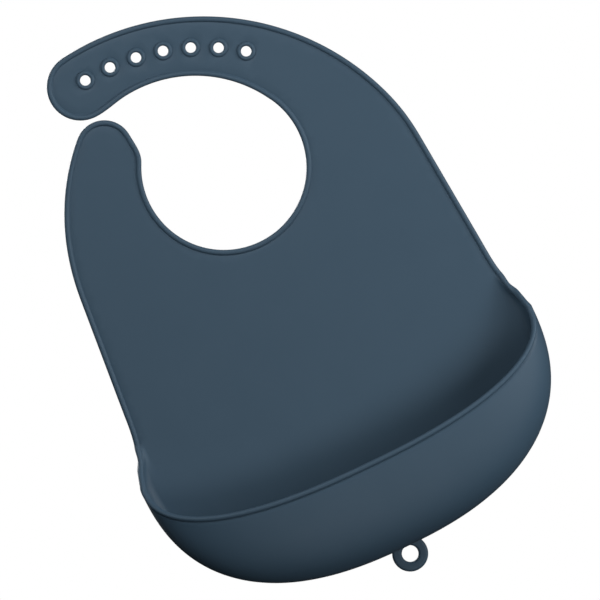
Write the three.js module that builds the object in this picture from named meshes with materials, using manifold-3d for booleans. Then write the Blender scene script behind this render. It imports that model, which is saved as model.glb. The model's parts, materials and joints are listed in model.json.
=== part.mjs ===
// Silicone feeding bib with a crumb pocket, hanging upright as it is worn.
// Millimetres, +Z up towards the neck, the front faces -Y and the flat back face lies on y = 0.
// The origin is on the back face, on the centre line, 109 mm below the centre of the neck opening.
//
// The real bib is one flexible moulding. It is built here as the regions that stay nearly flat
// while it flexes, cut apart along the lines it bends at, so that each line can be a hinge.

import * as THREE from 'three';
import { mergeVertices } from 'three/addons/utils/BufferGeometryUtils.js';
import Module from 'manifold-3d';

const wasm = await Module();
wasm.setup();

// ---------------------------------------------------------------- driving dimensions

const SHEET = 2.0; // thickness of the silicone sheet
const RIM_THICKNESS = 3.0; // thickness at the raised rim and around each button hole
const RIM_WIDTH = 2.8; // width of the raised rim

// Outline, seen from the front, as circles and points in x and z.
const NECK = { x: -1.2, z: 108.8, radius: 43.7 }; // neck opening
const STRAP_INSIDE = { x: -23.8, z: 96.4, radius: 69.4 }; // inner edge of the long strap
const STRAP_OUTSIDE = { x: -35.5, z: 61.7, radius: 137.3 }; // outer edge of the long strap
const STRAP_TIP = { x: -51.5, z: 180.0, radius: 17.9 }; // round end of the long strap
const TAB_TIP = { x: -54.2, z: 144.8, radius: 15.3 }; // round end of the short tab
const SIDE_TOP = { x: 100.0, z: 78.0 }; // where the straight side meets the shoulder
const CORNER = { x: 107.0, z: -5.0 }; // where the side edge meets the pocket's lip

// Button holes along the long strap, on a circle that is concentric with its outer edge.
const HOLE_COUNT = 7;
const HOLE_RADIUS = 2.75;
const HOLE_BOSS_RADIUS = 5.0;
const HOLE_CIRCLE_RADIUS = 120.9;
const HOLE_FIRST_ANGLE = 95.8;
const HOLE_ANGLE_STEP = 7.0;

// Button studs on the back of the short tab, one hole pitch apart.
const STUD_PITCH = 14.8;
const STUD_HEADING = 247.2; // direction from the outer stud to the inner one, in degrees
const STUD_STEM_RADIUS = 2.4;
const STUD_STEM_HEIGHT = 3.4;
const STUD_HEAD_RADIUS = 3.9;
const STUD_HEAD_HEIGHT = 2.2;

// Pocket: three curves run along it, from one corner round the bottom to the other corner.
const POCKET_SIDE_Z = -27.0; // height where the side of the pocket turns into its round bottom
const POCKET_SQUARENESS = 2.43; // exponent of the superellipse that all three curves follow
const POCKET_BACK = { x: 106.5, drop: 75.5 }; // joins the flat back
const POCKET_BELLY = { x: 113.5, drop: 85.7 }; // widest and lowest line
const POCKET_LIP = { x: 112.5, drop: 38.6 }; // middle of the lip bead
const POCKET_BELLY_DEPTH = 20.0; // distance of the lowest line in front of the back face
const LIP_SLOPE = 0.685; // forward distance of the lip for each millimetre below the corners
const LIP_BEAD_RADIUS = 1.6;

// Hanging loop under the pocket.
const LOOP = { y: -3.0, z: -118.3, radius: 9.6, holeRadius: 4.4, thickness: 3.0 };
const LOOP_ROOT_Z = -110.8;

// Lines that the moulding bends at. Forward is towards the front, backward towards the wearer.
const PIVOT_DEPTH = 1.2; // distance of every hinge line in front of the back face
const CREASE_SLIT = 0.5; // width of a cut at its hinge line
const PANEL_FOLDS = { heights: [10, 30, 50], forward: 45, backward: 20 };
const STRAP_CURLS = { angles: [12, 36, 60.4, 86, 108.2], forward: 10, backward: 26 };
const TAB_CURLS = { angles: [170, 152.4], forward: 15, backward: 25 };

// Clearances between regions of the one moulding.
const POCKET_CLEARANCE = 2.0; // flat back to the pocket wall around it
const BEAD_CLEARANCE = 0.6; // pocket wall to the lip bead
const STUD_CLEARANCE = 0.3; // tab to a stud

const SILICONE = { color: 0x40566a, roughness: 0.62, metalness: 0.0 };

// ---------------------------------------------------------------- helpers

const radians = THREE.MathUtils.degToRad;

function pointOn(circle, degrees) {
  const angle = radians(degrees);
  const x = circle.x + circle.radius * Math.cos(angle);
  const z = circle.z + circle.radius * Math.sin(angle);
  return new THREE.Vector2(x, z);
}

function heading(degrees) {
  return new THREE.Vector2(Math.cos(radians(degrees)), Math.sin(radians(degrees)));
}

// A closed manifold from a three.js geometry, for cutting and joining.
function solid(geometry) {
  const bare = geometry.clone();
  bare.deleteAttribute('normal');
  bare.deleteAttribute('uv');
  const merged = mergeVertices(bare, 1e-4);
  const vertProperties = Float32Array.from(merged.attributes.position.array);
  const triVerts = Uint32Array.from(merged.index.array);
  return new wasm.Manifold(new wasm.Mesh({ numProp: 3, vertProperties, triVerts }));
}

function geometryOf(body) {
  const mesh = body.getMesh();
  const geometry = new THREE.BufferGeometry();
  geometry.setAttribute('position', new THREE.Float32BufferAttribute(mesh.vertProperties, 3));
  geometry.setIndex(Array.from(mesh.triVerts));
  geometry.computeVertexNormals();
  return geometry;
}

// A flat plate with its outline in x and z, from y = back to y = front.
function plate(shape, back, front) {
  const settings = { depth: back - front, bevelEnabled: false, curveSegments: 10 };
  const geometry = new THREE.ExtrudeGeometry(shape, settings);
  geometry.rotateX(Math.PI / 2);
  geometry.translate(0, back, 0);
  return geometry;
}

function circlePath(centre, radius) {
  return new THREE.Path().absarc(centre.x, centre.y, radius, 0, 2 * Math.PI, true);
}

// Runs a smooth curve from the path's current point to end, leaving and arriving along headings.
function curveTo(path, leaving, end, arriving, reach) {
  const first = path.currentPoint.clone().addScaledVector(leaving, reach);
  const second = end.clone().addScaledVector(arriving, -reach);
  path.bezierCurveTo(first.x, first.y, second.x, second.y, end.x, end.y);
}

function arcAlong(path, circle, from, to, clockwise) {
  path.absarc(circle.x, circle.z, circle.radius, radians(from), radians(to), clockwise);
}

// Moves every point of a closed counter-clockwise outline inwards by a distance.
function inset(points, distance) {
  return points.map((point, i) => {
    const before = points[(i + points.length - 1) % points.length];
    const after = points[(i + 1) % points.length];
    const arriving = point.clone().sub(before).normalize();
    const leaving = after.clone().sub(point).normalize();
    const along = arriving.clone().add(leaving).normalize();
    const inwards = new THREE.Vector2(-along.y, along.x);
    return point.clone().addScaledVector(inwards, distance / along.dot(leaving));
  });
}

// ---------------------------------------------------------------- sheet

// The free edge of the bib above its pocket, closed by a straight line between the corners.
function sheetOutline() {
  const sideHeading = new THREE.Vector2(SIDE_TOP.x - CORNER.x, SIDE_TOP.z - CORNER.z).normalize();
  const leftHeading = new THREE.Vector2(sideHeading.x, -sideHeading.y);
  const edge = new THREE.Path();
  edge.moveTo(CORNER.x, CORNER.z);
  edge.lineTo(SIDE_TOP.x, SIDE_TOP.z);
  curveTo(edge, sideHeading, pointOn(STRAP_OUTSIDE, 20), heading(110), 11);
  arcAlong(edge, STRAP_OUTSIDE, 20, 97.7, false);
  arcAlong(edge, STRAP_TIP, 97.7, 270, false);
  curveTo(edge, heading(0), pointOn(STRAP_INSIDE, 97), heading(7), 6.5);
  arcAlong(edge, STRAP_INSIDE, 97, 28.9, true);
  arcAlong(edge, NECK, 28.9, 152, true);
  curveTo(edge, heading(62), pointOn(TAB_TIP, 5), heading(95), 6);
  arcAlong(edge, TAB_TIP, 5, 135, false);
  curveTo(edge, heading(225), new THREE.Vector2(-SIDE_TOP.x, SIDE_TOP.z), leftHeading, 30);
  edge.lineTo(-CORNER.x, CORNER.z);
  const points = edge.getPoints(14);
  return points.filter((point, i) => i === 0 || point.distanceTo(points[i - 1]) > 0.01);
}

function buttonHoleCentres() {
  const circle = { ...STRAP_OUTSIDE, radius: HOLE_CIRCLE_RADIUS };
  const angles = Array.from({ length: HOLE_COUNT }, (_, i) => HOLE_FIRST_ANGLE - i * HOLE_ANGLE_STEP);
  return angles.map((angle) => pointOn(circle, angle));
}

// The part of the sheet above the pocket: a thick plate with a recess that leaves the rim and
// a ring around each button hole standing.
function upperSheet() {
  const outline = sheetOutline();
  const centres = buttonHoleCentres();
  const full = new THREE.Shape(outline);
  full.holes = centres.map((centre) => circlePath(centre, HOLE_RADIUS));
  const recessOutline = inset(outline, RIM_WIDTH);
  const recessBottom = CORNER.z - 1;
  for (const point of recessOutline) {
    if (point.y < CORNER.z + RIM_WIDTH + 0.1) {
      point.y = recessBottom;
    }
  }
  const recess = new THREE.Shape(recessOutline);
  recess.holes = centres.map((centre) => circlePath(centre, HOLE_BOSS_RADIUS));
  const thick = solid(plate(full, 0, -RIM_THICKNESS));
  return thick.subtract(solid(plate(recess, -SHEET, -RIM_THICKNESS - 1)));
}

// The flat back of the pocket, which stays clear of the pocket wall around it.
function pocketBack() {
  const steps = 40;
  const points = [];
  for (let i = 0; i <= steps; i += 1) {
    const { back } = pocketStation(-1 + (2 * i) / steps);
    points.push(new THREE.Vector2(back.x, back.z));
  }
  points.push(new THREE.Vector2(CORNER.x, CORNER.z + 4), new THREE.Vector2(-CORNER.x, CORNER.z + 4));
  return solid(plate(new THREE.Shape(inset(points, POCKET_CLEARANCE)), 0, -SHEET));
}

// A cut along one hinge line. It widens to the front and the back by half of the bend there.
function creaseCutter(centre, direction, length, bend) {
  const front = RIM_THICKNESS + 1;
  const slit = CREASE_SLIT / 2;
  const atBack = slit + (1 + PIVOT_DEPTH) * Math.tan(radians(bend.backward / 2));
  const atFront = slit + (front - PIVOT_DEPTH) * Math.tan(radians(bend.forward / 2));
  const section = new THREE.Shape([
    new THREE.Vector2(atBack, 1),
    new THREE.Vector2(-atBack, 1),
    new THREE.Vector2(-slit, -PIVOT_DEPTH),
    new THREE.Vector2(-atFront, -front),
    new THREE.Vector2(atFront, -front),
    new THREE.Vector2(slit, -PIVOT_DEPTH),
  ]);
  const geometry = new THREE.ExtrudeGeometry(section, { depth: length, bevelEnabled: false });
  const along = new THREE.Vector3(direction.x, 0, direction.y);
  const across = new THREE.Vector3(direction.y, 0, -direction.x);
  const placed = new THREE.Matrix4().makeBasis(across, new THREE.Vector3(0, 1, 0), along);
  placed.setPosition(centre.x, 0, centre.y);
  return solid(geometry.applyMatrix4(placed));
}

function creases() {
  const panel = PANEL_FOLDS.heights.map((z) =>
    creaseCutter(new THREE.Vector2(-CORNER.x - 10, z), heading(0), 2 * CORNER.x + 20, PANEL_FOLDS));
  const radial = (bend) => bend.angles.map((angle) =>
    creaseCutter(pointOn({ ...NECK, radius: 30 }, angle), heading(angle), 80, bend));
  return [...panel, ...radial(STRAP_CURLS), ...radial(TAB_CURLS)];
}

// A point inside each region of the sheet, which says which cut-off piece is which.
function sheetRegions() {
  const between = (angle, radius) => pointOn({ ...NECK, radius }, angle);
  return {
    chest_panel: new THREE.Vector2(0, -40),
    lower_fold_strip: new THREE.Vector2(0, 20),
    upper_fold_strip: new THREE.Vector2(0, 40),
    neck_yoke: new THREE.Vector2(0, 58),
    strap_root: between(24, 65),
    strap_lower: between(45, 65),
    strap_middle: between(73, 65),
    strap_upper: between(97, 65),
    strap_tip: new THREE.Vector2(STRAP_TIP.x, STRAP_TIP.z - 6),
    tab_root: between(161, 68),
    tab_tip: new THREE.Vector2(TAB_TIP.x, TAB_TIP.z),
  };
}

function sheetPieces() {
  const sheet = creases().reduce((body, cut) => body.subtract(cut), upperSheet().add(pocketBack()));
  const pieces = sheet.decompose();
  const found = {};
  for (const [name, point] of Object.entries(sheetRegions())) {
    const probe = new THREE.BoxGeometry(0.5, 0.5, 0.5).translate(point.x, -SHEET / 2, point.y);
    const region = pieces.find((piece) => piece.intersect(solid(probe)).volume() > 0.01);
    found[name] = geometryOf(region);
  }
  return found;
}

// ---------------------------------------------------------------- pocket

function superellipse(curve, angle) {
  const power = 2 / POCKET_SQUARENESS;
  const x = curve.x * Math.cos(angle) ** power;
  const z = POCKET_SIDE_Z - curve.drop * Math.sin(angle) ** power;
  return { x, z };
}

// The three curves of the pocket at one place along it: -1 left corner, 0 bottom, 1 right corner.
function pocketStation(along) {
  const bottomShare = 0.8;
  const side = along < 0 ? -1 : 1;
  const share = Math.abs(along);
  const angle = (Math.PI / 2) * Math.max(0, 1 - share / bottomShare);
  const fromCorner = Math.min(1, (1 - share) / (1 - bottomShare));
  let back = superellipse(POCKET_BACK, angle);
  let belly = superellipse(POCKET_BELLY, angle);
  let lip = superellipse(POCKET_LIP, angle);
  if (fromCorner < 1) {
    const z = THREE.MathUtils.lerp(CORNER.z, POCKET_SIDE_Z, fromCorner);
    back = { x: THREE.MathUtils.lerp(CORNER.x, POCKET_BACK.x, fromCorner), z };
    belly = { x: back.x + (POCKET_BELLY.x - POCKET_BACK.x) * fromCorner, z };
    lip = { x: back.x + (POCKET_LIP.x - POCKET_BACK.x) * fromCorner, z };
  }
  const lipDepth = RIM_THICKNESS / 2 + LIP_SLOPE * (CORNER.z - lip.z);
  const deepest = RIM_THICKNESS / 2 + LIP_SLOPE * (CORNER.z - POCKET_SIDE_Z + POCKET_LIP.drop);
  const openness = (lipDepth - RIM_THICKNESS / 2) / (deepest - RIM_THICKNESS / 2);
  const bellyDepth = THREE.MathUtils.lerp(SHEET / 2, POCKET_BELLY_DEPTH, openness ** 0.8);
  return {
    back: new THREE.Vector3(side * back.x, -SHEET / 2, back.z),
    belly: new THREE.Vector3(side * belly.x, -bellyDepth, belly.z),
    lip: new THREE.Vector3(side * lip.x, -lipDepth, lip.z),
  };
}

// Points along the middle of the pocket wall at one place along it: a round turn up to the belly,
// then a wall that runs forward and leans back up, to just short of the lip bead.
function pocketWallPoints(along) {
  const { back, belly, lip } = pocketStation(along);
  const roundness = 0.55;
  const forward = new THREE.Vector3(0, -1, 0);
  const depth = back.y - belly.y;
  const turnStart = back.clone().lerp(new THREE.Vector3(belly.x, back.y, belly.z), roundness);
  const turnEnd = belly.clone().addScaledVector(forward, -depth * roundness);
  const front = belly.clone().addScaledVector(forward, 0.85 * (belly.y - lip.y));
  const wallStart = belly.clone().lerp(front, 0.62);
  const wallEnd = front.clone().lerp(lip, 0.3);
  const curve = new THREE.CurvePath();
  curve.add(new THREE.CubicBezierCurve3(back, turnStart, turnEnd, belly));
  curve.add(new THREE.CubicBezierCurve3(belly, wallStart, wallEnd, lip));
  let end = 1;
  while (curve.getPoint(end).distanceTo(lip) < LIP_BEAD_RADIUS + BEAD_CLEARANCE) {
    end -= 0.005;
  }
  const steps = 12;
  return Array.from({ length: steps + 1 }, (_, i) => curve.getPoint((end * i) / steps));
}

// Normals of a grid of points, from its neighbours along and across.
function gridNormal(grid, i, j) {
  const rows = grid.length - 1;
  const columns = grid[0].length - 1;
  const across = grid[i][Math.min(j + 1, columns)].clone().sub(grid[i][Math.max(j - 1, 0)]);
  const along = grid[Math.min(i + 1, rows)][j].clone().sub(grid[Math.max(i - 1, 0)][j]);
  return across.cross(along).normalize();
}

// A closed shell with the given thickness around a grid of points.
function shellAround(grid, thickness) {
  const rows = grid.length;
  const columns = grid[0].length;
  const positions = [];
  for (const half of [thickness / 2, -thickness / 2]) {
    grid.forEach((row, i) => row.forEach((point, j) => {
      positions.push(...point.clone().addScaledVector(gridNormal(grid, i, j), half));
    }));
  }
  const outer = (i, j) => i * columns + j;
  const inner = (i, j) => rows * columns + i * columns + j;
  const index = [];
  const quad = (a, b, c, d) => index.push(a, b, c, a, c, d);
  for (let i = 0; i < rows - 1; i += 1) {
    for (let j = 0; j < columns - 1; j += 1) {
      quad(outer(i, j), outer(i, j + 1), outer(i + 1, j + 1), outer(i + 1, j));
      quad(inner(i, j), inner(i + 1, j), inner(i + 1, j + 1), inner(i, j + 1));
    }
    quad(outer(i, 0), outer(i + 1, 0), inner(i + 1, 0), inner(i, 0));
    quad(outer(i + 1, columns - 1), outer(i, columns - 1), inner(i, columns - 1), inner(i + 1, columns - 1));
  }
  for (let j = 0; j < columns - 1; j += 1) {
    quad(outer(0, j + 1), outer(0, j), inner(0, j), inner(0, j + 1));
    quad(outer(rows - 1, j), outer(rows - 1, j + 1), inner(rows - 1, j + 1), inner(rows - 1, j));
  }
  const geometry = new THREE.BufferGeometry();
  geometry.setAttribute('position', new THREE.Float32BufferAttribute(positions, 3));
  geometry.setIndex(index);
  geometry.computeVertexNormals();
  return geometry;
}

function pocketShell() {
  const steps = 48;
  const reach = 0.9; // the wall dies out just below the corners, where the lip bead takes over
  const grid = [];
  for (let i = 0; i <= steps; i += 1) {
    grid.push(pocketWallPoints(reach * (-1 + (2 * i) / steps)));
  }
  return shellAround(grid, SHEET);
}

function pocketLip() {
  const steps = 36;
  const reach = 0.982;
  const points = [];
  for (let i = 0; i <= steps; i += 1) {
    points.push(pocketStation(reach * (-1 + (2 * i) / steps)).lip);
  }
  const section = new THREE.Shape().absarc(0, 0, LIP_BEAD_RADIUS, 0, 2 * Math.PI, false);
  const extrudePath = new THREE.CatmullRomCurve3(points);
  return new THREE.ExtrudeGeometry(section, { extrudePath, steps: 72, curveSegments: 4 });
}

// ---------------------------------------------------------------- small pieces

function hangingLoop() {
  const ring = new THREE.Shape().absarc(0, LOOP.z, LOOP.radius, 0, 2 * Math.PI, false);
  ring.holes = [circlePath(new THREE.Vector2(0, LOOP.z), LOOP.holeRadius)];
  const back = LOOP.y + LOOP.thickness / 2;
  const body = solid(plate(ring, back, back - LOOP.thickness));
  const above = new THREE.BoxGeometry(30, 10, 10).translate(0, LOOP.y, LOOP_ROOT_Z + 5);
  return geometryOf(body.subtract(solid(above)));
}

// A mushroom-shaped stud that stands on the back face, with its axis along y.
function buttonStud() {
  const rise = STUD_STEM_HEIGHT - STUD_CLEARANCE;
  const profile = new THREE.Path();
  profile.moveTo(0, 0);
  profile.lineTo(STUD_STEM_RADIUS, 0);
  profile.lineTo(STUD_STEM_RADIUS, rise);
  profile.lineTo(STUD_HEAD_RADIUS, rise + 0.3);
  profile.lineTo(STUD_HEAD_RADIUS, rise + 0.9);
  profile.quadraticCurveTo(STUD_HEAD_RADIUS * 0.8, rise + STUD_HEAD_HEIGHT, 0, rise + STUD_HEAD_HEIGHT);
  return new THREE.LatheGeometry(profile.getPoints(5), 20);
}

function studPlaces() {
  const outer = new THREE.Vector2(TAB_TIP.x, TAB_TIP.z);
  const inner = outer.clone().addScaledVector(heading(STUD_HEADING), STUD_PITCH);
  return [outer, inner];
}

// ---------------------------------------------------------------- assembly

function named(name, geometry) {
  const mesh = new THREE.Mesh(geometry, new THREE.MeshStandardMaterial(SILICONE));
  mesh.name = name;
  return mesh;
}

const bib = new THREE.Group();

for (const [name, geometry] of Object.entries(sheetPieces())) {
  bib.add(named(name, geometry));
}

bib.add(named('pocket_shell', pocketShell()));
bib.add(named('pocket_lip', pocketLip()));
bib.add(named('hanging_loop', hangingLoop()));

studPlaces().forEach((place, i) => {
  const stud = named(`button_stud_${i + 1}`, buttonStud());
  stud.position.set(place.x, STUD_CLEARANCE, place.y);
  bib.add(stud);
});

export default bib;
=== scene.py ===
import json
import math

import bpy
import numpy as np
from mathutils import Matrix, Vector
from mathutils.geometry import delaunay_2d_cdt


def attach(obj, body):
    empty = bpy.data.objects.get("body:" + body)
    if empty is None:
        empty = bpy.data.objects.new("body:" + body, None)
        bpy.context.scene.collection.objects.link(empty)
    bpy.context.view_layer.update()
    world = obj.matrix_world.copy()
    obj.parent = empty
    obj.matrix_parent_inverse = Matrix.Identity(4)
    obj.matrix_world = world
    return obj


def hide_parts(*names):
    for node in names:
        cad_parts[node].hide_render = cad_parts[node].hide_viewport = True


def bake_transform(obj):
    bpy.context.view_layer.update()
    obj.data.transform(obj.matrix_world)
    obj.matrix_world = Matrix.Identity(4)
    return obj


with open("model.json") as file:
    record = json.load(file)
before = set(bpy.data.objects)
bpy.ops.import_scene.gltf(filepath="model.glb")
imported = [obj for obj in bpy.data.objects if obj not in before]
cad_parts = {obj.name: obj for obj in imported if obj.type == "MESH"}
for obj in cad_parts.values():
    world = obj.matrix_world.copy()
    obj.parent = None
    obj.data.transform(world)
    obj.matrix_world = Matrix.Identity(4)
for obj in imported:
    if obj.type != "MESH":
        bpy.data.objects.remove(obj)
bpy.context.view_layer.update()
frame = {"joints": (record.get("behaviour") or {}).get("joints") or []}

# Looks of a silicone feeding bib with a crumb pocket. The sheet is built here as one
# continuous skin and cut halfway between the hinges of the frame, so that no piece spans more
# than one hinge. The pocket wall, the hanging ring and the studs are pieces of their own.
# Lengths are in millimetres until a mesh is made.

MM = 0.001

# ------------------------------------------------------------------ sizes

SHEET = 2.0  # thickness of the sheet
RIM_CREST = 1.4  # distance of the rim's crest from the edge
RIM_FOOT = 2.85  # distance of the rim's inner foot from the edge
RIM_END = 4.0  # from here on the sheet is flat
RIM_PROUD = 1.0  # height of the rim above the sheet
RIM_GROOVE = 0.28  # depth of the groove along the rim's inner foot
RIM_STEPS = (0.0, 0.08, 0.3, 0.7, RIM_CREST, 2.1, 2.5, 2.72, RIM_FOOT, 3.0, 3.4, RIM_END)
EDGE_STEP = 1.8  # spacing of points along an edge
FIELD_STEP = 4.2  # spacing of points inside the sheet
ON_EDGE = 0.02  # a point nearer than this to an edge is on it

EDGE_NOSE = 0.5  # distance of the very edge in front of the sheet's middle
BACK_ROUNDING = 0.9  # width of the rounding along the back's edge

# Outline, seen from the front, as circles and points in x and z.
STRAP_INSIDE = {"centre": (-23.8, 96.4), "radius": 69.4}  # inner edge of the strap
STRAP_OUTSIDE = {"centre": (-35.5, 61.7), "radius": 137.3}  # outer edge of the strap
STRAP_TIP = {"centre": (-51.5, 180.0), "radius": 17.9}  # round end of the strap
TAB_TIP = {"centre": (-54.2, 144.8), "radius": 15.3}  # round end of the short tab
NECK_RADIUS = 43.7
SIDE_TOP = (100.0, 78.0)  # where the straight side meets the shoulder
SIDE_LOW = (105.2, 16.0)  # where the side starts to flare
CORNER = (107.8, -5.0)  # where the side edge meets the pocket's lip
FLARE = (-0.25, 0.97)  # heading of the side edge at the corner, going up

# Places where the parts of the outline meet, in degrees on their circles.
SHOULDER_END = 20
STRAP_END = 97.7
STRAP_TIP_END = 270
STRAP_RETURN = 97
NECK_START = 28.9
NECK_END = 152
TAB_START = 5
TAB_END = 135

HOLE_COUNT = 7
HOLE_RADIUS = 2.75
HOLE_BOSS_WIDTH = 2.2
HOLE_CIRCLE_RADIUS = 120.9
HOLE_FIRST_ANGLE = 95.8
HOLE_ANGLE_STEP = 7.0

# Half widths and drops of the three curves along the pocket.
POCKET_BACK = (106.5, 75.5)  # joins the flat back
POCKET_BELLY = (113.5, 85.7)  # widest and lowest line
POCKET_LIP = (112.5, 38.6)  # tip of the lip
POCKET_SIDE_Z = -27.0  # height where the side of the pocket turns into its round bottom
POCKET_POWER = 2 / 2.43  # power of the superellipse that the curves follow
POCKET_BELLY_DEPTH = 20.0  # distance of the lowest line in front of the back face
BELLY_OPENING = 0.8  # power by which the belly deepens from the corners to the bottom
LIP_SLOPE = 0.685  # forward distance of the lip for each millimetre below the corners
BOTTOM_SHARE = 0.8  # share of the stations that lie along the round bottom
CORNER_TUCK = 1.6  # keeps the outline even where the rim turns forward into the lip
TURN_ROUNDNESS = 0.55  # of the turn from the flat back to the belly
WALL_FRONT = 0.85  # share of the way forward, from belly to lip, at which the wall turns up
LIP_FORMED = 0.5  # from the corner up to here the sheet's rim turns into the pocket's lip
LIP_NOSE = 0.15  # distance of the lip's very edge outside the wall's middle
LIP_PROUD_OUTSIDE = 0.9
LIP_PROUD_INSIDE = 0.45
LEAD_IN = 5.0  # strip of flat sheet that belongs to the pocket wall's piece
STATIONS = 161  # places along the pocket, from corner to corner
WALL_SAMPLES = 46  # places across the pocket wall, below the lip

STRAP_MIDDLE = 70.0  # distance of the strap's middle from the centre of the neck opening
STRAP_BEND = 9.0  # half of the length that bends at each of the strap's hinges
TAB_MIDDLE = 60.0
TAB_BEND = 6.5


# ------------------------------------------------------------------ what the frame says

def mm(vector):
    return np.array(vector, float) / MM


joints = {joint["name"]: joint for joint in frame["joints"]}


def pivot(name):
    x, y, z = mm(joints[name]["pos_m"])
    return x, y, z


def axis_angle(name):
    x, _, z = joints[name]["axis"]
    return math.degrees(math.atan2(z, x))


NECK_X, PIVOT_Y, NECK_Z = pivot("strap_curl")
NECK = {"centre": (NECK_X, NECK_Z), "radius": NECK_RADIUS}
FOLD_JOINTS = ("panel_fold", "panel_fold_middle", "panel_fold_upper")
STRAP_JOINTS = ("strap_curl", "strap_curl_2", "strap_curl_3", "strap_curl_4", "strap_curl_5")
TAB_JOINTS = ("tab_curl", "tab_curl_2")
FOLD_HEIGHTS = [pivot(name)[2] for name in FOLD_JOINTS]
STRAP_ANGLES = [axis_angle(name) for name in STRAP_JOINTS]
TAB_ANGLES = [180 + axis_angle(name) for name in TAB_JOINTS]


def borders(places):
    """The lines where the pieces that bend at these places meet: halfway between neighbours."""
    inner = [(a + b) / 2 for a, b in zip(places, places[1:])]
    return [places[0] - (inner[0] - places[0])] + inner + [places[-1] + (places[-1] - inner[-1])]


FOLD_BORDERS = borders(FOLD_HEIGHTS)
STRAP_BORDERS = borders(STRAP_ANGLES)
TAB_BORDERS = borders(TAB_ANGLES)


# ------------------------------------------------------------------ material

COLOUR_DEEP = (0.0525, 0.101, 0.152)
COLOUR_DUSTY = (0.0585, 0.1085, 0.1615)
TONE_PATCH = 26  # size of the patches of slightly different tone
GLOSS_PATCH = 11  # size of the patches of slightly different gloss
ROUGHNESS = (0.5, 0.62)
WAVE_LENGTH = 34
WAVE_HEIGHT = 0.35
GRAIN_SIZE = 0.45
GRAIN_HEIGHT = 0.012
REFRACTION = 1.41
SHEEN = 0.04


def silicone_material():
    """Matt moulded silicone: a fine grain, faint unevenness of tone and gloss, and the slow
    waviness of a thin soft sheet."""
    material = bpy.data.materials.new("silicone_matte")
    material.use_nodes = True
    nodes, links = material.node_tree.nodes, material.node_tree.links
    shader = nodes["Principled BSDF"]

    rest = nodes.new("ShaderNodeAttribute")
    rest.attribute_name = "rest"
    place = nodes.new("ShaderNodeVectorMath")
    place.operation = "SCALE"
    place.inputs["Scale"].default_value = 1 / MM
    links.new(rest.outputs["Vector"], place.inputs[0])

    def noise(size, detail=2.0):
        node = nodes.new("ShaderNodeTexNoise")
        node.inputs["Scale"].default_value = 1 / size
        node.inputs["Detail"].default_value = detail
        links.new(place.outputs["Vector"], node.inputs["Vector"])
        return node.outputs["Fac"]

    def ramp(value, low, high):
        node = nodes.new("ShaderNodeMapRange")
        node.inputs["To Min"].default_value = low
        node.inputs["To Max"].default_value = high
        links.new(value, node.inputs["Value"])
        return node.outputs["Result"]

    def bump(height, distance, below=None):
        node = nodes.new("ShaderNodeBump")
        node.inputs["Strength"].default_value = 1.0
        node.inputs["Distance"].default_value = distance * MM
        links.new(height, node.inputs["Height"])
        if below:
            links.new(below, node.inputs["Normal"])
        return node.outputs["Normal"]

    tone = nodes.new("ShaderNodeMix")
    tone.data_type = "RGBA"
    tone.inputs["A"].default_value = (*COLOUR_DEEP, 1)
    tone.inputs["B"].default_value = (*COLOUR_DUSTY, 1)
    links.new(ramp(noise(TONE_PATCH, 4), 0.0, 1.0), tone.inputs["Factor"])
    links.new(tone.outputs["Result"], shader.inputs["Base Color"])
    links.new(ramp(noise(GLOSS_PATCH, 3), *ROUGHNESS), shader.inputs["Roughness"])
    waves = bump(noise(WAVE_LENGTH), WAVE_HEIGHT)
    grain = bump(noise(GRAIN_SIZE), GRAIN_HEIGHT, waves)
    links.new(grain, shader.inputs["Normal"])
    shader.inputs["IOR"].default_value = REFRACTION
    shader.inputs["Sheen Weight"].default_value = SHEEN
    return material


SILICONE = silicone_material()


# ------------------------------------------------------------------ plane curves

def smooth(t):
    """Eases from 0 to 1 as t goes from 0 to 1, and stays there outside."""
    t = np.clip(t, 0.0, 1.0)
    return t * t * (3 - 2 * t)


def heading(degrees):
    """The unit vector at an angle in x and z."""
    return np.array((math.cos(math.radians(degrees)), math.sin(math.radians(degrees))))


def on_circle(circle, degrees):
    return np.array(circle["centre"]) + circle["radius"] * heading(degrees)


def arc(circle, start, end):
    """Points along a circle from one angle to another, in degrees, either way round."""
    count = max(8, int(abs(end - start) * math.pi / 180 * circle["radius"]))
    return [on_circle(circle, a) for a in np.linspace(start, end, count)]


def bezier(start, leaving, end, arriving, reach, count=40):
    """A curve between two points, in two or three dimensions, along headings at its ends."""
    start, end = np.array(start, float), np.array(end, float)
    first = start + reach * np.array(leaving)
    second = end - reach * np.array(arriving)
    return cubic(start, first, second, end, count)


def cubic(a, b, c, d, count):
    """Points along the Bezier curve with these four control points."""
    t = np.linspace(0, 1, count)[:, None]
    return a * (1 - t) ** 3 + 3 * b * t * (1 - t) ** 2 + 3 * c * t * t * (1 - t) + d * t ** 3


def resample(points, count):
    """The same open curve as evenly spaced points."""
    points = np.array(points, float)
    steps = np.linalg.norm(np.diff(points, axis=0), axis=1)
    keep = np.concatenate(([True], steps > 1e-6))
    points = points[keep]
    along = np.concatenate(([0], np.cumsum(steps[steps > 1e-6])))
    places = np.linspace(0, along[-1], count)
    return np.stack([np.interp(places, along, column) for column in points.T], axis=1)


def length(points):
    return float(np.linalg.norm(np.diff(np.array(points), axis=0), axis=1).sum())


def left_normals(points):
    """Unit vectors to the left of an open curve, at each of its points."""
    tangents = np.gradient(points, axis=0)
    tangents /= np.linalg.norm(tangents, axis=1)[:, None]
    return np.stack([-tangents[:, 1], tangents[:, 0]], axis=1)


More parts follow.
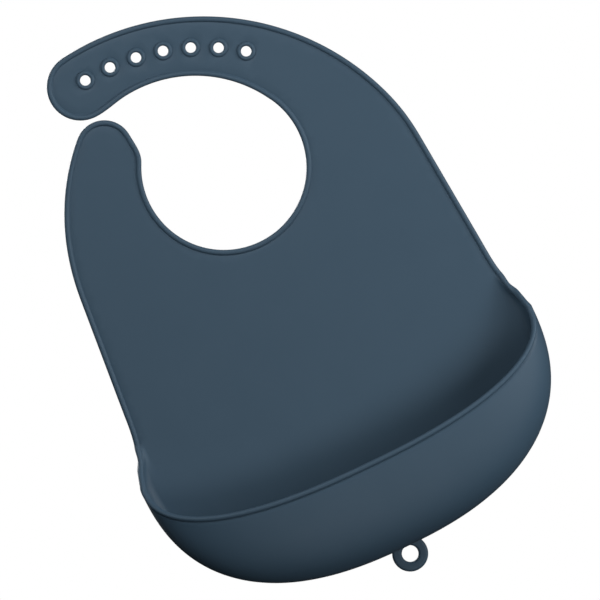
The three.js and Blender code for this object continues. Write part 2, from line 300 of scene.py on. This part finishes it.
def free_edge():
    """The edge of the sheet from the right corner of the pocket, round the strap, the neck
    opening and the tab, to the left corner."""
    side = np.array(SIDE_TOP) - np.array(SIDE_LOW)
    side /= np.linalg.norm(side)
    left_top, left_low, left_corner = ((-x, z) for x, z in (SIDE_TOP, SIDE_LOW, CORNER))
    left_side, left_flare = (side[0], -side[1]), (FLARE[0], -FLARE[1])
    shoulder = on_circle(STRAP_OUTSIDE, SHOULDER_END)
    tip_end, strap_return = on_circle(STRAP_TIP, STRAP_TIP_END), on_circle(STRAP_INSIDE, STRAP_RETURN)
    neck_end, tab_start = on_circle(NECK, NECK_END), on_circle(TAB_TIP, TAB_START)
    tab_end = on_circle(TAB_TIP, TAB_END)
    parts = [
        bezier(CORNER, FLARE, SIDE_LOW, side, reach=7),
        [SIDE_LOW, SIDE_TOP],
        bezier(SIDE_TOP, side, shoulder, heading(SHOULDER_END + 90), reach=11),
        arc(STRAP_OUTSIDE, SHOULDER_END, STRAP_END),
        arc(STRAP_TIP, STRAP_END, STRAP_TIP_END),
        bezier(tip_end, heading(0), strap_return, heading(STRAP_RETURN - 90), reach=6.5),
        arc(STRAP_INSIDE, STRAP_RETURN, NECK_START),
        arc(NECK, NECK_START, NECK_END - 360),
        bezier(neck_end, heading(NECK_END - 90), tab_start, heading(TAB_START + 90), reach=6),
        arc(TAB_TIP, TAB_START, TAB_END),
        bezier(tab_end, heading(TAB_END + 90), left_top, left_side, reach=30),
        [left_top, left_low],
        bezier(left_low, left_side, left_corner, left_flare, reach=7),
    ]
    points = np.concatenate([np.array(part, float) for part in parts])
    return resample(points, int(length(points) / EDGE_STEP))


def distance_to(points, line):
    """Distance of every point from an open polyline."""
    a, b = line[:-1], line[1:]
    ab = b - a
    best = np.full(len(points), 1e9)
    batch = 2000  # points at a time, to keep the arrays small
    for start in range(0, len(points), batch):
        p = points[start:start + batch, None, :]
        t = ((p - a) * ab).sum(2) / (ab * ab).sum(1)
        near = a + np.clip(t, 0, 1)[:, :, None] * ab
        best[start:start + batch] = np.linalg.norm(p - near, axis=2).min(1)
    return best


def inside(points, polygon):
    """Even-odd test of every point against a closed polygon."""
    result = np.zeros(len(points), bool)
    following = np.roll(polygon, -1, axis=0)
    for (ax, ay), (bx, by) in zip(polygon, following):
        if ay != by:
            spans = (ay > points[:, 1]) != (by > points[:, 1])
            crossing = ax + (points[:, 1] - ay) / (by - ay) * (bx - ax)
            result ^= spans & (points[:, 0] < crossing)
    return result


# ------------------------------------------------------------------ profiles across an edge

def quarter(t):
    """Height of a quarter circle, t being 0 at its top and 1 at its end."""
    return np.sqrt(np.clip(1 - t * t, 0, 1))


def rim_profile(d, nose, proud):
    """Height of a raised rim above the middle of the sheet, d millimetres from its edge."""
    d = np.asarray(d, float)
    half, crest = SHEET / 2, SHEET / 2 + proud
    foot = half - RIM_GROOVE
    outer = nose + (crest - nose) * quarter((RIM_CREST - d) / RIM_CREST)
    inner = foot + (crest - foot) * quarter((d - RIM_CREST) / (RIM_FOOT - RIM_CREST))
    groove_floor = RIM_FOOT + 0.1
    groove = half - RIM_GROOVE * (1 - smooth((d - groove_floor) / (RIM_END - groove_floor)))
    return np.where(d < RIM_CREST, outer, np.where(d < RIM_FOOT, inner, groove))


def round_profile(d, nose, half, radius):
    """Height of a plain rounded edge above the middle of the sheet."""
    d = np.asarray(d, float)
    return nose + (half - nose) * quarter(np.clip((radius - d) / radius, 0, 1))


def sheet_front(d):
    return rim_profile(d, EDGE_NOSE, RIM_PROUD)


def sheet_back(d):
    return round_profile(d, -EDGE_NOSE, SHEET / 2, BACK_ROUNDING)


# ------------------------------------------------------------------ meshes

def mesh_object(name, vertices, faces, caps=()):
    """A smooth closed mesh in metres whose cap faces are flat. It keeps its rest position as an
    attribute, so that its material doesn't swim when it bends."""
    mesh = bpy.data.meshes.new(name)
    places = np.array(vertices, float) * MM
    polygons = [tuple(face) for face in (*faces, *caps)]
    mesh.from_pydata([tuple(place) for place in places], [], polygons)
    smooth_flags = np.ones(len(mesh.polygons), bool)
    smooth_flags[len(faces):] = False
    mesh.polygons.foreach_set("use_smooth", smooth_flags)
    cap_edges = {key for polygon in mesh.polygons[len(faces):] for key in polygon.edge_keys}
    for edge in mesh.edges:
        edge.use_edge_sharp = tuple(sorted(edge.vertices)) in cap_edges
    rest = mesh.attributes.new("rest", "FLOAT_VECTOR", "POINT")
    rest.data.foreach_set("vector", places.astype(np.float32).ravel())
    mesh.validate()
    mesh.update()
    piece = bpy.data.objects.new(name, mesh)
    bpy.context.scene.collection.objects.link(piece)
    return piece


def triangulate(polygon, holes, lines, loose):
    """Triangles inside a polygon and outside its holes, with edges along all the given lines."""
    points, edges = [], []

    def add(line, closed):
        first = len(points)
        points.extend(line)
        edges.extend((first + i, first + i + 1) for i in range(len(line) - 1))
        if closed:
            edges.append((first + len(line) - 1, first))

    add(list(polygon), True)
    for hole in holes:
        add(list(hole), True)
    for line, closed in lines:
        add(list(line), closed)
    points.extend(loose)
    result = delaunay_2d_cdt([Vector(p) for p in points], edges, [], 0, 1e-4, False)
    flat = np.array([tuple(p) for p in result[0]])
    triangles = np.array(result[2])
    a, b, c = (flat[triangles[:, i]] for i in range(3))
    area = np.cross(b - a, c - a) / 2
    triangles[area < 0] = triangles[area < 0][:, ::-1]
    centre = (a + b + c) / 3
    keep = (np.abs(area) > 1e-5) & inside(centre, np.array(polygon))
    for hole in holes:
        keep &= ~inside(centre, np.array(hole))
    return flat, triangles[keep], centre[keep]


def plate_piece(name, flat, triangles, heights, joined):
    """A closed plate from flat triangles. heights holds each point's y in front and at the back,
    and joined says where the two sides meet in one point."""
    used = np.unique(triangles)
    front, back, vertices = {}, {}, []
    for i in used:
        x, z = flat[i]
        front[i] = len(vertices)
        vertices.append((x, heights[i, 0], z))
        if joined[i]:
            back[i] = front[i]
        else:
            back[i] = len(vertices)
            vertices.append((x, heights[i, 1], z))
    faces, edges = [], {}
    for a, b, c in triangles:
        faces.append((front[a], front[b], front[c]))
        faces.append((back[c], back[b], back[a]))
        edges.update({(a, b): True, (b, c): True, (c, a): True})
    caps = []
    for a, b in edges:
        if (b, a) in edges or (joined[a] and joined[b]):
            continue
        corners = [front[b], front[a], back[a], back[b]]
        caps.append(list(dict.fromkeys(corners)))
    return mesh_object(name, vertices, faces, caps)


# ------------------------------------------------------------------ joining pieces to the frame

def finish_piece(piece, nodes=()):
    piece.data.materials.append(SILICONE)
    if nodes:
        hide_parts(*nodes)


def on_body(piece, body, nodes=()):
    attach(piece, body)
    finish_piece(piece, nodes)


def between(piece, nodes=()):
    """Keeps a piece of the sheet that spans a hinge where it was made: its placement is baked
    into its mesh, it gets the material and the frame's parts that it stands for are hidden.
    It is not joined to any body."""
    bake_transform(piece)
    finish_piece(piece, nodes)


# ------------------------------------------------------------------ pocket curves

def superellipse(curve, angle):
    """A point on a curve's round bottom: angle is 0 at the side and a quarter turn at the bottom."""
    x = curve[0] * max(0.0, math.cos(angle)) ** POCKET_POWER
    z = POCKET_SIDE_Z - curve[1] * math.sin(angle) ** POCKET_POWER
    return x, z


def pocket_station(along):
    """Back, belly and lip points at one place along the pocket, and its distance from the
    nearer corner: 0 there, 1 from the round bottom on."""
    side = -1 if along < 0 else 1
    share = abs(along)
    angle = math.pi / 2 * max(0.0, 1 - share / BOTTOM_SHARE)
    near = min(1.0, (1 - share) / (1 - BOTTOM_SHARE))
    back, belly, lip = (superellipse(c, angle) for c in (POCKET_BACK, POCKET_BELLY, POCKET_LIP))
    if near < 1:
        z = CORNER[1] + (POCKET_SIDE_Z - CORNER[1]) * near
        x = CORNER[0] + (POCKET_BACK[0] - CORNER[0]) * near
        back = (x, z)
        tuck = CORNER_TUCK * (smooth(near / LIP_FORMED) - near)
        belly = (x - tuck + (POCKET_BELLY[0] - POCKET_BACK[0]) * near, z)
        lip = (x - tuck + (POCKET_LIP[0] - POCKET_BACK[0]) * near, z)
    rise = LIP_SLOPE * (CORNER[1] - lip[1])
    openness = rise / (LIP_SLOPE * (CORNER[1] - POCKET_SIDE_Z + POCKET_LIP[1]))
    belly_depth = SHEET / 2 + (POCKET_BELLY_DEPTH - SHEET / 2) * openness ** BELLY_OPENING
    places = (
        np.array((side * back[0], -SHEET / 2, back[1])),
        np.array((side * belly[0], -belly_depth, belly[1])),
        np.array((side * lip[0], -SHEET / 2 - 0.5 * near - rise, lip[1])),
    )
    return places, near


def unit(vector):
    return vector / np.linalg.norm(vector)


def wall_path(places, near, outward):
    """The middle of the pocket wall at one station, from the flat sheet to the tip of the lip.
    At the corner it is the sheet's own edge, and from the round bottom on the full wall."""
    back, belly, lip = places
    forward = np.array((0.0, -1.0, 0.0))
    start = back - LEAD_IN * outward
    crest = RIM_CREST * smooth(near)
    turn = smooth(near / 0.9) * math.pi / 2
    ending = math.cos(turn) * outward + math.sin(turn) * forward
    tip = lip + crest * ending
    reach = 0.4 * np.linalg.norm(tip - start)
    simple = resample(bezier(start, outward, tip, ending, reach, 60), WALL_SAMPLES * 4)
    full_from = 0.1
    if near <= full_from:
        return simple
    below = np.array((belly[0], back[1], belly[2]))
    turn_start = back + TURN_ROUNDNESS * (below - back)
    turn_end = belly - TURN_ROUNDNESS * (back[1] - belly[1]) * forward
    front = belly + WALL_FRONT * (belly[1] - lip[1]) * forward
    top = lip + crest * unit(lip - front)
    wall_start = belly + 0.62 * (front - belly)
    wall_end = front + 0.3 * (top - front)
    turning = cubic(back, turn_start, turn_end, belly, 60)
    wall = cubic(belly, wall_start, wall_end, top, 120)
    full = resample(np.concatenate(([start], turning, wall)), WALL_SAMPLES * 4)
    return simple + (full - simple) * smooth((near - full_from) / (1 - full_from))


def pocket_paths():
    """The wall's path at every station, and each station's distance from the corner."""
    stations = [pocket_station(a) for a in np.linspace(-1, 1, STATIONS)]
    backs = np.array([places[0][[0, 2]] for places, _ in stations])
    normals = -left_normals(backs)
    normals[0], normals[-1] = (-1, 0), (1, 0)
    outward = np.stack([normals[:, 0], np.zeros(STATIONS), normals[:, 1]], axis=1)
    paths = np.array([wall_path(p, near, out) for (p, near), out in zip(stations, outward)])
    return paths, np.array([near for _, near in stations])


def pocket_seam(paths):
    """Where the pocket wall's piece meets the flat sheet, from left to right."""
    return paths[:, 0][:, [0, 2]]


# ------------------------------------------------------------------ sheet

def hole_centres():
    circle = {"centre": STRAP_OUTSIDE["centre"], "radius": HOLE_CIRCLE_RADIUS}
    return [on_circle(circle, HOLE_FIRST_ANGLE - i * HOLE_ANGLE_STEP) for i in range(HOLE_COUNT)]


def ring(centre, radius, count=36):
    """Points round a circle."""
    return np.array([centre + radius * heading(a) for a in np.arange(count) * 360 / count])


def radial_line(angle, far):
    """Points outwards from inside the neck opening."""
    near, step = 36, 2.6
    return [np.array(NECK["centre"]) + r * heading(angle) for r in np.arange(near, far, step)]


def cut_lines():
    """The lines that part the sheet into pieces, each running past the sheet at both ends."""
    wide, step = CORNER[0] + 6, 3.7
    past_strap, past_tab = 116, 104
    lines = [[np.array((x, z)) for x in np.arange(-wide, wide, step)] for z in FOLD_BORDERS]
    lines += [radial_line(angle, past_strap) for angle in STRAP_BORDERS]
    lines += [radial_line(angle, past_tab) for angle in TAB_BORDERS]
    return [np.array(line) for line in lines]


def sheet_field(polygon, edge, centres, cuts):
    """Loose points inside the sheet, on a triangular grid that keeps away from its lines."""
    bottom, top, wide = -120, 210, 120
    clear_of_edge, clear_of_boss, clear_of_cut = 1.5, 2.5, 1.2
    rows = np.arange(bottom, top, FIELD_STEP * math.sqrt(3) / 2)
    columns = np.arange(-wide, wide, FIELD_STEP)
    points = [(x + FIELD_STEP / 2 * (i % 2), z) for i, z in enumerate(rows) for x in columns]
    points = np.array(points)
    points = points[inside(points, polygon)]
    points = points[distance_to(points, edge) > RIM_END + clear_of_edge]
    points = points[distance_to(points, polygon) > clear_of_edge]
    for centre in centres:
        away = np.linalg.norm(points - centre, axis=1)
        points = points[away > HOLE_RADIUS + HOLE_BOSS_WIDTH + clear_of_boss]
    for cut in cuts:
        points = points[distance_to(points, cut) > clear_of_cut]
    return points


def sheet_mesh(seam):
    """The whole sheet: its flat points and triangles, the middles of the triangles, the y of
    each point in front and at the back, and whether those two are one point."""
    edge = free_edge()
    polygon = np.concatenate((edge, seam[:-1] if np.allclose(seam[-1], edge[0]) else seam))
    inward = left_normals(edge)
    lines = []
    for d in RIM_STEPS[1:]:
        loop = edge + d * inward
        loop[0], loop[-1] = (CORNER[0] - d, CORNER[1]), (d - CORNER[0], CORNER[1])
        lines.append((loop, False))
    centres = hole_centres()
    squeeze = HOLE_BOSS_WIDTH / RIM_FOOT
    for centre in centres:
        lines += [(ring(centre, HOLE_RADIUS + squeeze * d), True) for d in RIM_STEPS[1:]]
    cuts = cut_lines()
    lines += [(cut, False) for cut in cuts]
    holes = [ring(centre, HOLE_RADIUS) for centre in centres]
    loose = sheet_field(polygon, edge, centres, cuts)
    flat, triangles, middle = triangulate(polygon, holes, lines, loose)
    d = distance_to(flat, edge)
    for centre in centres:
        d = np.minimum(d, (np.linalg.norm(flat - centre, axis=1) - HOLE_RADIUS) / squeeze)
    d = np.where(d < ON_EDGE, 0, d)
    heights = np.stack([-SHEET / 2 - sheet_front(d), -SHEET / 2 + sheet_back(d)], axis=1)
    return flat, triangles, middle, heights, d == 0


def region_of(middle):
    """A number for each triangle: 0 chest, 1 to 3 folds, 4 yoke, 11 to 16 strap, 21 to 23 tab."""
    x, z = middle[:, 0], middle[:, 1]
    region = np.searchsorted(FOLD_BORDERS, z)
    angle = np.degrees(np.arctan2(z - NECK["centre"][1], x - NECK["centre"][0]))
    above = region == len(FOLD_BORDERS)
    tab_top = TAB_TIP["centre"][1] + TAB_TIP["radius"]
    past_tab = 130
    strap = above & (angle > STRAP_BORDERS[0]) & ((angle < past_tab) | (z > tab_top + 1))
    region = np.where(strap, 10 + np.searchsorted(STRAP_BORDERS, angle), region)
    down = [-b for b in TAB_BORDERS]
    tab = above & ~strap & (angle > 90) & (angle < TAB_BORDERS[0])
    region = np.where(tab, 20 + np.searchsorted(down, -angle), region)
    return region


def sheet_pieces(seam):
    """The sheet, cut into pieces: those on one body are joined to it, and those that span a hinge are
    left unjoined.
    """
    flat, triangles, middle, heights, joined = sheet_mesh(seam)
    region = region_of(middle)

    def piece(name, number):
        return plate_piece(name, flat, triangles[region == number], heights, joined)

    def bend(name, number, bodies, place, half, nodes=()):
        between(piece(name, number), nodes)

    neck = np.array(NECK["centre"])
    on_body(piece("chest_sheet", 0), "panel", ["chest_panel"])
    folds = ("panel", "fold_1", "fold_2", "yoke")
    fold_nodes = (["lower_fold_strip"], ["upper_fold_strip"], [])
    for i, z in enumerate(FOLD_HEIGHTS):
        half = (FOLD_BORDERS[i + 1] - FOLD_BORDERS[i]) / 2
        bend(f"fold_sheet_{i + 1}", 1 + i, folds[i:i + 2], (0, z), (0, half), fold_nodes[i])
    on_body(piece("yoke_sheet", 4), "yoke", ["neck_yoke"])
    straps = ("yoke", "strap_1", "strap_2", "strap_3", "strap_4", "strap_5")
    strap_nodes = (["strap_root"], ["strap_lower"], ["strap_middle"], ["strap_upper"], [])
    for i, angle in enumerate(STRAP_ANGLES):
        place, half = neck + STRAP_MIDDLE * heading(angle), STRAP_BEND * heading(angle + 90)
        bend(f"strap_sheet_{i + 1}", 11 + i, straps[i:i + 2], place, half, strap_nodes[i])
    on_body(piece("strap_tip_sheet", 16), "strap_5", ["strap_tip"])
    tabs = ("yoke", "tab_1", "tab_2")
    tab_nodes = (["tab_root"], [])
    for i, angle in enumerate(TAB_ANGLES):
        place, half = neck + TAB_MIDDLE * heading(angle), TAB_BEND * heading(angle - 90)
        bend(f"tab_sheet_{i + 1}", 21 + i, tabs[i:i + 2], place, half, tab_nodes[i])
    on_body(piece("tab_tip_sheet", 23), "tab_2", ["tab_tip"])


# ------------------------------------------------------------------ pocket wall

def lip_profiles(e, near):
    """Heights of the outer and the inner face of the pocket wall, e millimetres from its tip.
    At the corners they are the back and the front of the sheet's rim."""
    lip = smooth(near / LIP_FORMED)
    outer = sheet_back(e) + (rim_profile(e, LIP_NOSE, LIP_PROUD_OUTSIDE) - sheet_back(e)) * lip
    inner = sheet_front(e) + (rim_profile(e, -LIP_NOSE, LIP_PROUD_INSIDE) - sheet_front(e)) * lip
    return outer, inner


def wall_grid(paths, nears):
    """Outer and inner points of the pocket wall, by station and by place from tip to seam."""
    middle, outer, inner = [], [], []
    for path, near in zip(paths, nears):
        total = length(path)
        e = np.concatenate((RIM_STEPS, np.linspace(RIM_END, total, WALL_SAMPLES + 1)[1:]))
        steps = np.linalg.norm(np.diff(path, axis=0), axis=1)
        along = np.concatenate(([0], np.cumsum(steps)))
        middle.append(np.stack([np.interp(total - e, along, column) for column in path.T], axis=1))
        out, inn = lip_profiles(e, near)
        outer.append(out)
        inner.append(inn)
    middle = np.array(middle)
    normals = np.cross(np.gradient(middle, axis=0), -np.gradient(middle, axis=1))
    normals /= np.linalg.norm(normals, axis=2)[:, :, None]
    outer, inner = (np.array(heights)[:, :, None] for heights in (outer, inner))
    return middle + normals * outer, middle - normals * inner


def pocket_piece(paths, nears):
    """The pocket wall with its lip, which swings forward from the flat back."""
    outer, inner = wall_grid(paths, nears)
    rings = np.concatenate((outer[:, ::-1], inner[:, 1:]), axis=1)
    count, size = rings.shape[:2]
    vertices = rings.reshape(-1, 3)
    faces, caps = [], []
    for i in range(count - 1):
        here, there = i * size, (i + 1) * size
        for j in range(size - 1):
            faces.append((here + j, there + j, there + j + 1, here + j + 1))
        caps.append((here + size - 1, there + size - 1, there, here))
    last = (count - 1) * size
    for j in range(size // 2):
        k = size - 1 - j
        caps.append(tuple(dict.fromkeys((j, j + 1, k - 1, k))))
        caps.append(tuple(dict.fromkeys((last + k, last + k - 1, last + j + 1, last + j))))
    wall = mesh_object("pocket_wall", vertices, faces, caps)
    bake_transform(wall)
    finish_piece(wall, ["pocket_shell", "pocket_lip"])


# ------------------------------------------------------------------ hanging loop and studs

LOOP = {"centre": (0.0, -118.3), "radius": 9.6}
LOOP_HOLE_RADIUS = 4.4
LOOP_THICKNESS = 3.0
LOOP_ROUNDING = 1.5
LOOP_ROOT = (11.5, -106.0)  # right end of the loop's top, before it is moved up to the wall
LOOP_STEPS = (0.0, 0.06, 0.2, 0.45, 0.8, 1.2, 1.6, 2.2)
LOOP_SIDE_POINTS = 24


def loop_outline():
    """Down the left side, round the ring, up the right side and back along the wall."""
    x, z = LOOP_ROOT
    meets, lean, reach = 30, 70, 2.6
    left, right = on_circle(LOOP, 180 - meets), on_circle(LOOP, meets)
    down = bezier((-x, z), heading(-lean), left, heading(270 - meets), reach, LOOP_SIDE_POINTS)
    up = bezier(right, heading(90 + meets), (x, z), heading(lean), reach, LOOP_SIDE_POINTS)
    around = arc(LOOP, 180 - meets, 360 + meets)
    top = [np.array((a, z)) for a in np.linspace(x, -x, LOOP_SIDE_POINTS)]
    return np.concatenate((down, around[1:], up[1:], top[1:-1]))


def loop_piece(paths):
    """The ring with its neck, whose top is moved up to meet the underside of the pocket wall."""
    outline = loop_outline()
    centre = np.array(LOOP["centre"])
    open_edge = outline[:2 - LOOP_SIDE_POINTS]
    inward = left_normals(open_edge)
    lines = [(open_edge + d * inward, False) for d in LOOP_STEPS[1:]]
    lines += [(ring(centre, LOOP_HOLE_RADIUS + d, 48), True) for d in LOOP_STEPS[1:]]
    hole = ring(centre, LOOP_HOLE_RADIUS, 48)
    flat, triangles, _ = triangulate(outline, [hole], lines, [])
    d = distance_to(flat, open_edge)
    d = np.minimum(d, np.abs(np.linalg.norm(flat - centre, axis=1) - LOOP_HOLE_RADIUS))
    d = np.where(d < ON_EDGE, 0, d)
    y = pivot("loop_flex")[1]
    half = round_profile(d, 0, LOOP_THICKNESS / 2, LOOP_ROUNDING)
    heights = np.stack([y - half, y + half], axis=1)
    loop = plate_piece("hanging_ring", flat, triangles, heights, d == 0)
    bottom = paths[STATIONS // 2]
    bottom = bottom[bottom[:, 1] > -POCKET_BELLY_DEPTH]
    low = pivot("loop_flex")[2]
    for vertex in loop.data.vertices:
        place = vertex.co / MM
        if place.z > low:
            top = np.interp(-place.y, -bottom[:, 1], bottom[:, 2])
            place.z = low + (place.z - low) * (top - low) / (LOOP_ROOT[1] - low)
            vertex.co = place * MM
    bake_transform(loop)
    finish_piece(loop, ["hanging_loop"])


STUD_OUTER = TAB_TIP["centre"]  # the other stud is one hole spacing further down the tab
STUD_SPACING = 14.8
STUD_HEADING = 247.2
STUD_STEM_RADIUS = 2.4
STUD_HEAD_RADIUS = 3.9
STUD_NECK_HEIGHT = 3.4
STUD_HEIGHT = 5.6


def stud_profile():
    """Radius and height of a snap stud, from inside the sheet over its foot, stem and head."""
    foot, flare, rim = 0.9, 0.5, 0.6
    stem, head = STUD_STEM_RADIUS, STUD_HEAD_RADIUS

    def bend(radius, height, size, start, end):
        angles = np.radians(np.linspace(start, end, 7))
        return [(radius + size * math.cos(a), height + size * math.sin(a)) for a in angles]

    sunk = -0.6
    points = [(stem + foot, sunk)]
    points += bend(stem + foot, foot, foot, 270, 180)
    points += bend(stem + flare, STUD_NECK_HEIGHT - flare, flare, 180, 90)
    points += bend(head - rim, STUD_NECK_HEIGHT + rim, rim, 270, 360)
    shoulder = STUD_NECK_HEIGHT + rim
    angles = np.radians(np.linspace(0, 90, 14)[1:-1])
    dome = STUD_HEIGHT - shoulder
    points += [(head * math.cos(a), shoulder + dome * math.sin(a)) for a in angles]
    return points


def stud_piece(name, centre, body, node):
    """Turns the stud's profile round an axis along y."""
    profile = stud_profile()
    around = 48
    vertices = []
    for radius, height in profile:
        for x, z in ring(np.array(centre), radius, around):
            vertices.append((x, height, z))
    base, top = len(vertices), len(vertices) + 1
    vertices += [(centre[0], profile[0][1], centre[1]), (centre[0], STUD_HEIGHT, centre[1])]
    faces, caps = [], []
    last = (len(profile) - 1) * around
    for j in range(around):
        k = (j + 1) % around
        for i in range(0, last, around):
            faces.append((i + k, i + j, i + around + j, i + around + k))
        caps.append((base, j, k))
        faces.append((top, last + k, last + j))
    on_body(mesh_object(name, vertices, faces, caps), body, [node])


def add_studs():
    outer = np.array(STUD_OUTER)
    inner = outer + STUD_SPACING * heading(STUD_HEADING)
    stud_piece("snap_stud_outer", outer, "tab_2", "button_stud_1")
    stud_piece("snap_stud_inner", inner, "tab_1", "button_stud_2")


# ------------------------------------------------------------------ stage, light and camera

UP = Vector((0.430, 0.0, 0.903))  # the direction that points up in the picture
SIDE_VIEW = 1.0  # degrees that the camera stands to the right of straight ahead
AIM = Vector((5.0, 0.0, 28.0))
FRAME_WIDTH = 318.0  # width of the picture at the bib
LENS = 500.0  # long, so that there is hardly any perspective
FLOOR_Z = -131.0
FLOOR_HALF = 6000.0
FLOOR_GREY = 0.06

# Name, angle in the picture, angle towards the camera, distance, size and watts of each light.
LIGHTS = (
    ("side_light", 30, 20, 800, 350, 2.4),
    ("right_light", 0, 45, 800, 350, 1.35),
    ("left_light", 135, 45, 800, 350, 1.75),
    ("top_light", 90, 45, 800, 350, 0.9),
    ("low_light", 285, 60, 850, 350, 0.95),
    ("back_light", 150, -50, 900, 600, 10.0),
)


def camera_axes():
    """Unit vectors to the right, up and forward in the picture."""
    turn = math.radians(SIDE_VIEW)
    forward = Vector((-math.sin(turn), math.cos(turn), 0))
    up = (UP - UP.dot(forward) * forward).normalized()
    return forward.cross(up), up, forward


def look(thing, place, right, up, forward):
    """Puts a camera or a light at a place, facing forward."""
    turn = Matrix((right, up, -forward)).transposed().to_4x4()
    thing.matrix_world = Matrix.Translation(place * MM) @ turn


def add_camera():
    data = bpy.data.cameras.new("camera")
    data.lens = LENS
    data.clip_end = 50
    camera = bpy.data.objects.new("camera", data)
    bpy.context.scene.collection.objects.link(camera)
    right, up, forward = camera_axes()
    distance = FRAME_WIDTH * LENS / data.sensor_width
    look(camera, AIM - distance * forward, right, up, forward)
    bpy.context.scene.camera = camera


def add_light(name, around, height, distance, size, power):
    """A soft round light that faces the object. around is its angle in the picture, from the
    right and anticlockwise, and height its angle above the picture, towards the camera."""
    data = bpy.data.lights.new(name, "AREA")
    data.shape = "DISK"
    data.size = size * MM
    data.energy = power
    light = bpy.data.objects.new(name, data)
    bpy.context.scene.collection.objects.link(light)
    right, up, forward = camera_axes()
    a, h = math.radians(around), math.radians(height)
    towards = math.cos(h) * (math.cos(a) * right + math.sin(a) * up) - math.sin(h) * forward
    side = towards.cross(Vector((0, 0, 1))).normalized()
    look(light, AIM + distance * towards, -side, towards.cross(side), -towards)


def seen_or_lit(nodes, links, seen, lit):
    """Mixes two shaders: one that the camera sees and one that the light sees."""
    path = nodes.new("ShaderNodeLightPath")
    mix = nodes.new("ShaderNodeMixShader")
    links.new(path.outputs["Is Camera Ray"], mix.inputs["Fac"])
    links.new(lit, mix.inputs[1])
    links.new(seen, mix.inputs[2])
    return mix.outputs["Shader"]


def add_world():
    """White behind the object, giving no light."""
    world = bpy.data.worlds.new("studio")
    world.use_nodes = True
    nodes, links = world.node_tree.nodes, world.node_tree.links
    nodes.clear()
    white, black = nodes.new("ShaderNodeBackground"), nodes.new("ShaderNodeBackground")
    white.inputs["Color"].default_value = (1, 1, 1, 1)
    black.inputs["Color"].default_value = (0, 0, 0, 1)
    output = nodes.new("ShaderNodeOutputWorld")
    shader = seen_or_lit(nodes, links, white.outputs[0], black.outputs[0])
    links.new(shader, output.inputs["Surface"])
    bpy.context.scene.world = world


def add_floor():
    """A floor just under the object, white where the camera sees it. The object gets neither a
    shadow nor a reflection from it."""
    material = bpy.data.materials.new("pale_floor")
    material.use_nodes = True
    nodes, links = material.node_tree.nodes, material.node_tree.links
    nodes.clear()
    white, dull = nodes.new("ShaderNodeEmission"), nodes.new("ShaderNodeBsdfDiffuse")
    dull.inputs["Color"].default_value = (FLOOR_GREY, FLOOR_GREY, FLOOR_GREY, 1)
    output = nodes.new("ShaderNodeOutputMaterial")
    shader = seen_or_lit(nodes, links, white.outputs[0], dull.outputs[0])
    links.new(shader, output.inputs["Surface"])
    mesh = bpy.data.meshes.new("floor")
    square = ((-1, -1), (1, -1), (1, 1), (-1, 1))
    corners = [Vector((x * FLOOR_HALF, y * FLOOR_HALF, FLOOR_Z)) * MM for x, y in square]
    mesh.from_pydata(corners, [], [(0, 1, 2, 3)])
    mesh.materials.append(material)
    floor = bpy.data.objects.new("floor", mesh)
    bpy.context.scene.collection.objects.link(floor)
    floor.visible_shadow = False
    floor.visible_diffuse = False
    floor.visible_glossy = False


paths, nears = pocket_paths()
sheet_pieces(pocket_seam(paths))
pocket_piece(paths, nears)
loop_piece(paths)
add_studs()

add_world()
add_floor()
for light in LIGHTS:
    add_light(*light)
add_camera()
bpy.context.scene.view_settings.view_transform = "Standard"
